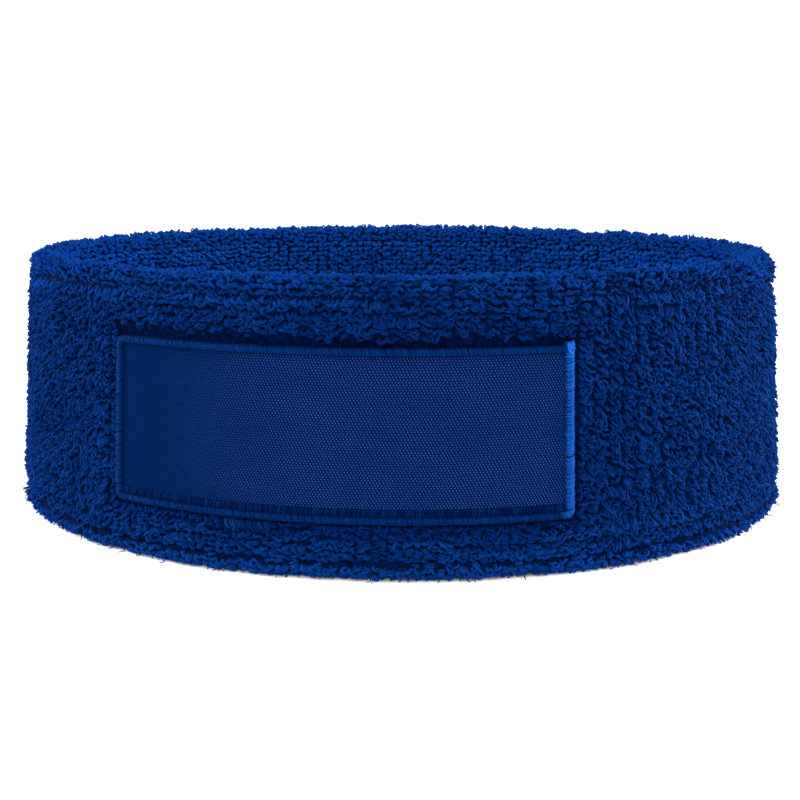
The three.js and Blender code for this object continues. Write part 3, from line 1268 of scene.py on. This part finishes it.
    def _zones(self, turn: np.ndarray, s: np.ndarray) -> dict[Zone, np.ndarray]:
        """Sort the tufts by zone, without those under the label and the closing seam.

        Args:
            turn: Each tuft's place around.
            s: Each tuft's place along the section.

        Returns:
            Which tufts each zone has.
        """
        offset, z = self.band.section.at(s, 0.0)
        beside, above = self.label.outside(turn, z)
        over = np.where(z > self.label.top - 5, self.bare_above, self.bare_below)
        bare = (offset > 0) & (beside < self.bare_beside) & (above < over)
        bare |= (z > self.seam_bare[0]) & (z < self.seam_bare[1])
        hem = z < self.hem_top
        fold = z > self.band.form.fold_centre - 0.2
        walls = ~(hem | fold | bare)
        return {
            Zone.HEM: hem,
            Zone.FOLD: fold,
            Zone.OUTER: walls & (offset > 0),
            Zone.INNER: walls & (offset < 0),
        }

    def _shades(self, turn: np.ndarray, s: np.ndarray, crease: np.ndarray) -> np.ndarray:
        """Shade the tufts: lighter round the hem and low on the band, painted light on the top strip and the
        skin side, painted shade in creases and painted shadow above the label.

        Args:
            turn: Each tuft's place around.
            s: Each tuft's place along the section.
            crease: How far each lies in a crease, 0 to 1.

        Returns:
            Each tuft's shade, from about 0 to 1.
        """
        offset, z = self.band.section.at(s, 0.0)
        beside, above = self.label.outside(turn, z)
        slow = SoftField(25, 24, 6)(turn, s / self.band.section.length)
        # Lighter round the hem, a slow random tone, and painted shade in the creases.
        shade = 0.5 + 0.2 * smooth_step(z, 3.2, 2.4) + 0.1 * slow - 0.5 * crease
        # Painted light: the skin side is lighter.
        shade += np.where(offset < 0, 0.3, 0.0)
        # Painted light on the top strip, as if lit from above; lighter below about 9 mm.
        shade += 0.45 * smooth_step(z, 42.5, 47) + 0.25 * smooth_step(z, 10, 8)
        # Painted shadow under the terry that overhangs the label's top edge.
        return shade - smooth_step(above, 2.1, 1.2) * (above > 0) * (beside < 0) * (offset > 0)

    def build(self, material: bpy.types.Material, skin_side: bpy.types.Material) -> None:
        """Build each zone's loops, as sectors that stay light enough to print.

        Args:
            material: The yarn's finish.
            skin_side: The yarn's finish inside, a lighter copy: painted light.
        """
        turn, s = self._layout()
        offset, z = self.band.section.at(s, 0.0)
        beside, _ = self.label.outside(turn, z)
        crease = self._creases(turn, s)
        shade = self._shades(turn, s, crease)
        thick = 1.0 + self.framed_thickness * self._framed(beside)
        thick = np.where(offset < 0, self.skin_side_thickness, thick)
        for index, (zone, members) in enumerate(self._zones(turn, s).items()):
            chosen = np.flatnonzero(members)
            chosen = chosen[np.argsort(turn[chosen], kind="stable")]
            sectors = np.array_split(chosen, math.ceil(len(chosen) / self.most_tufts))
            for number, sector in enumerate(sectors):
                rng = np.random.default_rng(self.seed + 100 * index + number)
                paths = self._paths(turn[sector], s[sector], crease[sector], rng)
                shades = np.repeat(shade[sector], self.strands) + 0.11 * rng.standard_normal(len(paths))
                radii = self.radius * np.repeat(thick[sector], self.strands)
                radii = radii * (1 + 0.12 * rng.standard_normal(len(paths)))
                loops = self.yarn.copies(paths, radii, np.clip(shades, 0, 0.999))
                name = f"{zone.name.lower()}_loops_{number + 1}"
                # The skin side gets the lighter finish: painted light.
                finish = skin_side if zone is Zone.INNER else material
                declare(loops.build(name, finish), "terry", zone.value)


@dataclass
class HemFringe:
    """Cut ends and snagged loops that curl out of the raw edges under the closing seam."""

    band: Band
    yarn: Strand
    curls: int = 1500
    length: float = 2.1
    radius: float = 0.11
    clear: float = 0.16
    outside_share: float = 0.62
    edge_width: float = 2.4
    seed: int = 61

    def build(self, material: bpy.types.Material) -> None:
        """Build the curls around both edges, clear of the ground.

        Args:
            material: The yarn's finish.
        """
        rng = np.random.default_rng(self.seed)
        total = self.band.section.length
        turn = rng.random(self.curls)
        edge = rng.uniform(0.1, self.edge_width, self.curls)
        s = np.where(rng.random(self.curls) < self.outside_share, edge, total - edge)
        root, around, along, out = self.band.frames(turn, s, 0.3)
        a = np.linspace(0, 1, self.yarn.spans + 1)[None]
        bend = rng.uniform(1.5, 5.5, self.curls)[:, None]
        size = (self.length * rng.uniform(0.5, 1.2, self.curls))[:, None]
        heading = rng.uniform(0, TURN, self.curls)[:, None]
        swing = size / bend * np.sin(bend * a)
        rise = 0.7 * size / bend * (1 - np.cos(bend * a)) + 0.35 * size * a
        points = (
            root[:, None]
            + (swing * np.cos(heading))[..., None] * around[:, None]
            + (swing * np.sin(heading))[..., None] * along[:, None]
            + rise[..., None] * out[:, None]
        )
        points[..., 2] = np.maximum(points[..., 2], self.clear)
        radii = self.radius * rng.uniform(0.7, 1.3, self.curls)
        fringe = self.yarn.copies(points, radii, rng.uniform(0.35, 0.9, self.curls), 0.6)
        declare(fringe.build("hem_fringe", material), "terry", Zone.HEM.value)


@dataclass
class LooseFibres:
    """Cotton fibres that stand off the loops and soften every edge."""

    band: Band
    label: LabelField
    yarn: Strand
    fibres: int = 19000
    length: float = 1.0
    radius: float = 0.045
    clear: float = 0.1
    label_margin: float = 0.8
    seam_bare: tuple[float, float] = (2.2, 4.2)
    hem_top: float = 1.6
    seed: int = 71

    def build(self, material: bpy.types.Material) -> None:
        """Build the fibres over the whole pile, except on the label.

        Args:
            material: The fibre's finish.
        """
        rng = np.random.default_rng(self.seed)
        turn = rng.random(self.fibres)
        s = rng.uniform(0.1, self.band.section.length - 0.1, self.fibres)
        offset, z = self.band.section.at(s, 0.0)
        beside, above = self.label.outside(turn, z)
        on_label = (offset > 0) & (beside < self.label_margin) & (above < self.label_margin)
        kept = ~on_label & ~((z > self.seam_bare[0]) & (z < self.seam_bare[1]))
        for zone, side in ((Zone.OUTER, kept & (offset > 0)), (Zone.INNER, kept & (offset <= 0))):
            hairs = self._lay(turn[side], s[side], rng).build(f"{zone.name.lower()}_fibres", material)
            declare(hairs, "terry", zone.value)

    def _lay(self, turn: np.ndarray, s: np.ndarray, rng: np.random.Generator) -> Mesh:
        """Lay one side's fibres.

        Args:
            turn: Their places around.
            s: Their places along the section.
            rng: The source of their curl.

        Returns:
            The fibres.
        """
        count = len(turn)
        _, z = self.band.section.at(s, 0.0)
        low = z < self.hem_top
        lift = np.where(low, 0.6, rng.uniform(0.9, 1.45, count))
        root, around, along, out = self.band.frames(turn, s, lift)
        a = np.linspace(0, 1, self.yarn.spans + 1)[None]
        size = (self.length * rng.uniform(0.4, 1.3, count))[:, None]
        heading = rng.uniform(0, TURN, count)[:, None]
        curve = rng.uniform(-1.8, 1.8, count)[:, None]
        stand = rng.uniform(0.0, 0.4, count)[:, None] * np.where(low, 0.4, 1.0)[:, None]
        x = size * a * np.cos(heading + curve * a)
        y = size * a * np.sin(heading + curve * a)
        rise = size * stand * a * (1 - 0.3 * a)
        points = root[:, None] + x[..., None] * around[:, None] + y[..., None] * along[:, None]
        points = points + rise[..., None] * out[:, None]
        points[..., 2] = np.maximum(points[..., 2], self.clear)
        return self.yarn.copies(points, np.full(count, self.radius), rng.uniform(0.5, 0.999, count), 0.5)


@dataclass
class LabelPanel:
    """The blank woven label: a thin satin panel that swells a little between its stitched edges."""

    label: LabelField
    thickness: float = 0.25
    edge_depth: float = -1.45
    middle_depth: float = -0.95
    inset: float = 0.25
    top_inset: float = 1.3
    wave: float = 0.05
    columns: int = 120
    rows: int = 48

    def build(self, border: bpy.types.Object) -> None:
        """Build the panel.

        Args:
            border: Not used.
        """
        width, height = self.label.width, self.label.height
        across, up = np.meshgrid(
            np.linspace(self.inset, width - self.inset, self.columns + 1),
            np.linspace(self.inset, height - self.top_inset, self.rows + 1),
            indexing="ij",
        )
        inside = np.minimum(np.minimum(across, width - across), np.minimum(up, height - 1.0 - up))
        swell = smooth_step(inside, 1.2, 6.0)
        wave = self.wave * np.sin(across * 0.35 + 0.6 * np.sin(up * 0.3)) * swell
        depth = self.edge_depth + (self.middle_depth - self.edge_depth) * swell + wave
        points = self.label.place(across, up, depth)
        pattern = np.stack([across / width, up / height], axis=-1)
        finish = SatinWeaveFinish(width_mm=width, height_mm=height).build()
        panel = skin(points, pattern, closed=False).build("label_satin", finish)
        thicken(panel, self.thickness, -1.0)
        declare(panel, "label_weave", "label_panel")


@dataclass
class LabelBorder:
    """The satin-stitched frame: threads laid side by side across the label's edge, and its loose ends."""

    label: LabelField
    thread: Strand
    width: float = 1.3
    pitch: float = 0.36
    radius: float = 0.185
    corner: float = 0.9
    side_inset: float = 0.95
    top_inset: float = 1.55
    bottom_inset: float = 1.0
    foot_depth: float = -1.6
    crown_depth: float = -0.75
    underlay_depth: float = -1.15
    underlay_reach: float = 0.75
    side_bulge: float = 0.35
    stray_radius: float = 0.085
    tail_radius: float = 0.15
    seed: int = 81

    def _track(self) -> tuple[np.ndarray, np.ndarray]:
        """Follow the frame's middle line: points, and unit vectors to its outside."""
        left, right = self.side_inset + self.corner, self.label.width - self.side_inset - self.corner
        low, high = self.bottom_inset + self.corner, self.label.height - self.top_inset - self.corner
        quarter = math.pi / 2
        centres = [(right, low, -quarter), (right, high, 0.0), (left, high, quarter), (left, low, math.pi)]
        line = []
        for x, y, start in centres:
            for a in np.linspace(start, start + quarter, 12):
                line.append((x + self.corner * math.cos(a), y + self.corner * math.sin(a)))
        line.append(line[0])
        line = np.array(line)
        lengths = np.concatenate([[0], np.cumsum(np.linalg.norm(np.diff(line, axis=0), axis=1))])
        count = int(lengths[-1] / self.pitch)
        at = (np.arange(count) + 0.5) / count * lengths[-1]
        points = np.stack([np.interp(at, lengths, line[:, k]) for k in (0, 1)], axis=1)
        ahead = np.stack([np.interp((at + 0.2) % lengths[-1], lengths, line[:, k]) for k in (0, 1)], axis=1)
        heading = ahead - points
        heading /= np.linalg.norm(heading, axis=1, keepdims=True)
        return points, np.stack([heading[:, 1], -heading[:, 0]], axis=1)

    def _stitch_paths(self, rng: np.random.Generator) -> np.ndarray:
        """Arch each stitch over the edge, from its outer foot to its inner one."""
        centre, outward = self._track()
        count = len(centre)
        a = np.linspace(0, math.pi, self.thread.spans + 1)[None]
        upright = np.abs(outward[:, :1])
        reach = 0.5 * self.width * (0.8 + 0.2 * upright) * (1 + 0.06 * rng.standard_normal((count, 1)))
        across = reach * np.cos(a)
        slant = 0.22 * np.cos(a) + 0.05 * rng.standard_normal((count, 1))
        ahead = np.stack([-outward[:, 1], outward[:, 0]], axis=1)
        x = centre[:, :1] + across * outward[:, :1] + slant * ahead[:, :1]
        y = centre[:, 1:] + across * outward[:, 1:] + slant * ahead[:, 1:]
        bulge = self.side_bulge * smooth_step(centre[:, :1], self.label.width - 4, self.label.width - 1)
        crown = self.crown_depth + bulge + 0.04 * rng.standard_normal((count, 1))
        depth = self.foot_depth + (crown - self.foot_depth) * np.sin(a) ** 0.6
        return self.label.place(x, y, depth)

    def _underlay(self, rng: np.random.Generator) -> np.ndarray:
        """Lay the flatter row of stitches between the panel and the frame's lower side, which build colours
        dark: painted shade.
        """
        a = np.linspace(0, math.pi, self.thread.spans + 1)[None]
        span = self.label.width - 2 * self.side_inset - self.width
        count = int(span / self.pitch)
        x = self.side_inset + 0.5 * self.width + (np.arange(count)[:, None] + 0.5) / count * span
        x = x + 0.1 * np.cos(a) + 0.04 * rng.standard_normal((count, 1))
        reach = self.underlay_reach * (1 + 0.08 * rng.standard_normal((count, 1)))
        y = self.bottom_inset + 0.5 * self.width + 0.55 + reach * np.cos(a)
        depth = self.foot_depth + (self.underlay_depth - self.foot_depth) * np.sin(a) ** 0.6
        return self.label.place(x, y, depth)

    def _tails(self, rng: np.random.Generator, count: int = 5) -> np.ndarray:
        """Bunch the trimmed thread ends at the upper right corner."""
        a = np.linspace(0, 1, self.thread.spans + 1)[None]
        heading = rng.uniform(-2.6, -0.9, (count, 1))
        size = rng.uniform(1.0, 1.9, (count, 1))
        x = self.label.width - 1.3 + rng.uniform(-0.4, 0.4, (count, 1)) + size * a * np.cos(heading + a)
        y = self.label.height - 0.5 + rng.uniform(-0.3, 0.4, (count, 1)) + size * a * np.sin(heading + a)
        depth = self.crown_depth + 0.25 + 0.5 * np.sin(a * math.pi) * rng.uniform(0.4, 1.0, (count, 1))
        return self.label.place(x, y, depth)

    def _tack(self, rng: np.random.Generator, count: int = 9) -> np.ndarray:
        """Carry the frame's right side up past its corner, to where the threads are tied off."""
        a = np.linspace(0, math.pi, self.thread.spans + 1)[None]
        rise = np.linspace(-2.6, -0.35, count)[:, None]
        x = self.label.width - self.side_inset + 0.5 * self.width * np.cos(a)
        x = x + 0.05 * rng.standard_normal((count, 1))
        y = self.label.height + rise + 0.15 * np.cos(a)
        depth = self.foot_depth + (self.crown_depth + 0.4 - self.foot_depth) * np.sin(a) ** 0.6
        return self.label.place(x, y, depth)

    def _strays(self, rng: np.random.Generator, count: int = 24) -> np.ndarray:
        """Comb a few long stitches down over the terry, under the frame's left half."""
        a = np.linspace(0, 1, self.thread.spans + 1)[None]
        start = self.label.width * 0.28 + np.linspace(0, 7.4, count)[:, None]
        x = start + 0.7 * a + 0.08 * rng.standard_normal((count, 1))
        y = 0.2 - (1.5 + 0.25 * rng.standard_normal((count, 1))) * a
        depth = self.crown_depth + 0.35 + 0.35 * np.sin(a * math.pi)
        return self.label.place(x, y, depth)

    def build(self, material: bpy.types.Material) -> bpy.types.Object:
        """Build the frame and its loose ends.

        Args:
            material: The thread's finish.

        Returns:
            The frame.
        """
        rng = np.random.default_rng(self.seed)
        stitches = self._stitch_paths(rng)
        tails = self._tails(rng)
        strays = self._strays(rng)
        count = len(stitches)
        # Painted light: the stitches on the frame's right side are lighter; those along the bottom a little
        # darker, painted shade.
        right = smooth_step(stitches[:, self.thread.spans // 2, 0], 28.0, 29.5)
        low = smooth_step(stitches[:, self.thread.spans // 2, 2], 14.0, 11.5)
        shades = np.clip(0.38 + 0.34 * right - 0.04 * low + 0.04 * rng.standard_normal(count), 0, 0.999)
        tack = self._tack(rng)
        whole = self.thread.copies(stitches, np.full(count, self.radius), shades)
        underlay = self._underlay(rng)
        # The tack and tails are lighter, painted light like the frame's right side; the underlay is dark,
        # painted shade.
        for paths, radius, shade in (
            (tack, self.radius, 0.75),
            (tails, self.tail_radius, 0.95),
            (strays, self.stray_radius, 0.42),
            (underlay, self.radius, 0.08),
        ):
            scatter = np.clip(shade + 0.1 * rng.standard_normal(len(paths)), 0, 0.999)
            whole = whole.joined(self.thread.copies(paths, np.full(len(paths), radius), scatter))
        piece = whole.build("label_satin_stitch", material)
        return declare(piece, "embroidery_thread", "label_border_thread")


@dataclass
class ClosingSeam:
    """The chain stitch that closes the hem: needle thread outside, looper chain inside."""

    band: Band
    thread: Strand
    stitch: float = 2.6
    height: float = 3.2
    radius: float = 0.24
    offset: float = 1.75
    needle_dip: float = 0.75
    looper_dip: float = 0.5
    chain_swing: float = 0.45
    unevenness: float = 0.12
    seed: int = 91

    def build(self, material: bpy.types.Material) -> None:
        """Build both threads.

        Args:
            material: The thread's finish.
        """
        count = int(self.band.form.girth / self.stitch)
        rng = np.random.default_rng(self.seed)
        a = np.linspace(0, 1, self.thread.spans + 1)[None]
        turn = (np.arange(count)[:, None] + 0.06 + 0.88 * a) / count
        angle = self.band.form.angle(turn)
        sink = 1 - np.sin(math.pi * a) ** 0.5
        z = self.height + self.unevenness * rng.standard_normal((count, 1))
        outside = self.band.form.place(angle, self.offset - self.needle_dip * sink, z)
        shades = np.clip(0.45 + 0.12 * rng.standard_normal(count), 0, 0.999)
        radii = np.full(count, self.radius)
        needle = self.thread.copies(outside, radii, shades)
        declare(needle.build("seam_needle_stitches", material), "seam_thread", "seam_needle_thread")
        swing = self.chain_swing * np.sin(math.pi * np.clip(a * 1.1, 0, 1))
        depth = self.looper_dip * sink - self.offset
        legs = [self.band.form.place(angle, depth, z + side * swing) for side in (-1, 1)]
        low, high = (self.thread.copies(leg, radii, shades) for leg in legs)
        chain = low.joined(high).build("seam_looper_chain", material)
        declare(chain, "seam_thread", "seam_looper_thread")


# ---------------------------------------------------------------- the studio


@dataclass(frozen=True)
class Lamp:
    """A square soft lamp that faces the band: its place and side in metres, its power in watts."""

    name: str
    place: tuple[float, float, float]
    side: float
    power: float

    def hang(self, aim_height: float) -> None:
        """Hang the lamp, aimed at a height in metres above the middle of the floor."""
        bpy.ops.object.light_add(type="AREA", location=self.place)
        lamp = bpy.context.object
        lamp.name = self.name
        lamp.data.size = self.side
        lamp.data.energy = self.power
        towards = -lamp.location
        towards.z += aim_height
        lamp.rotation_euler = towards.to_track_quat("-Z", "Y").to_euler()


@dataclass
class Studio:
    """A pale paper floor, a bright surround and large soft lamps, with the camera low in front."""

    camera_place: tuple[float, float, float] = (7.9, -224.9, 70.8)
    camera_pitch: float = 76.6
    camera_yaw: float = 2.02
    lens: float = 49.4
    sensor: float = 36.0
    floor_size: float = 6.0
    surround: float = 0.35
    aim_height: float = 0.025
    key_power: float = 3.35
    key_tilt: tuple[float, float] = (46, -6)
    key_softness: float = 70
    lamps: tuple[Lamp, ...] = (
        Lamp("right_lamp", (0.62, 0.1, 0.2), 0.35, 10.0),
        Lamp("left_lamp", (-0.6, 0.0, 0.2), 0.35, 5.5),
        Lamp("front_lamp", (0.1, -0.7, 0.45), 0.4, 1.0),
    )

    def _camera(self) -> None:
        """Set the camera up."""
        place = [value * MM for value in self.camera_place]
        angles = (math.radians(self.camera_pitch), 0, math.radians(self.camera_yaw))
        bpy.ops.object.camera_add(location=place, rotation=angles)
        camera = bpy.context.object
        camera.data.sensor_width = self.sensor
        camera.data.lens = self.lens
        camera.data.clip_start = 0.005
        bpy.context.scene.camera = camera

    def build(self) -> None:
        """Build the floor, the lamps, the surround and the camera."""
        deselect_all()
        bpy.ops.mesh.primitive_plane_add(size=self.floor_size)
        floor = bpy.context.object
        floor.name = "paper_floor"
        floor.data.materials.append(PAPER_SWEEP.build())
        tilt = [math.radians(angle) for angle in self.key_tilt]
        bpy.ops.object.light_add(type="SUN", rotation=(*tilt, 0))
        bpy.context.object.data.energy = self.key_power
        bpy.context.object.data.angle = math.radians(self.key_softness)
        for lamp in self.lamps:
            lamp.hang(self.aim_height)
        world = bpy.data.worlds.new("white_surround")
        world.use_nodes = True
        tree = world.node_tree
        tree.nodes.clear()
        seen = node(tree, "LightPath").outputs["Is Camera Ray"]
        strength = node(tree, "Math", seen, 1.0 - self.surround, self.surround, operation="MULTIPLY_ADD")
        node(tree, "OutputWorld", node(tree, "Background", linear("#ffffff"), strength))
        bpy.context.scene.world = world
        bpy.context.scene.view_settings.view_transform = "Standard"
        self._camera()


# ---------------------------------------------------------------- the whole band


def dress_packed_nodes() -> None:
    """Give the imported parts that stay, all inside the wall, the finish of what they are."""
    rubber = CoveredRubberFinish().build()
    for name, finish in (
        ("elastic_yarn_outer_wall", rubber),
        ("elastic_yarn_inner_wall", rubber),
        ("label_stabiliser", TEAR_AWAY_BACKING.build()),
        ("label_bobbin_thread", BOBBIN_THREAD.build()),
    ):
        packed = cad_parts[name]
        packed.data.materials.clear()
        packed.data.materials.append(finish)


def main() -> None:
    """Build the band's pieces in order, then the studio."""
    logging.basicConfig(level=logging.INFO, format="%(name)s %(message)s")
    form = WallForm()
    label = LabelField(form)
    section = Section(form)
    band = Band(form, section, Relief(label, section.length, ClothPull(form, section, label)))
    LOG.info("girth %.1f mm, section %.1f mm", form.girth, section.length)
    LOG.info("label %.1f x %.1f mm", label.width, label.height)
    terry = TERRY.build()
    GroundCloth(band).build()
    LoopPile(band, label, Strand(3, 4)).build(terry, LIT_INNER_TERRY.build())
    HemFringe(band, Strand(3, 5)).build(terry)
    LooseFibres(band, label, Strand(3, 2)).build(LOOSE_FIBRE.build())
    ClosingSeam(band, Strand(6, 6)).build(SEAM_THREAD.build())
    border = LabelBorder(label, Strand(5, 5)).build(EMBROIDERY_THREAD.build())
    LabelPanel(label).build(border)
    dress_packed_nodes()
    Studio().build()


if __name__ == "__main__":
    main()
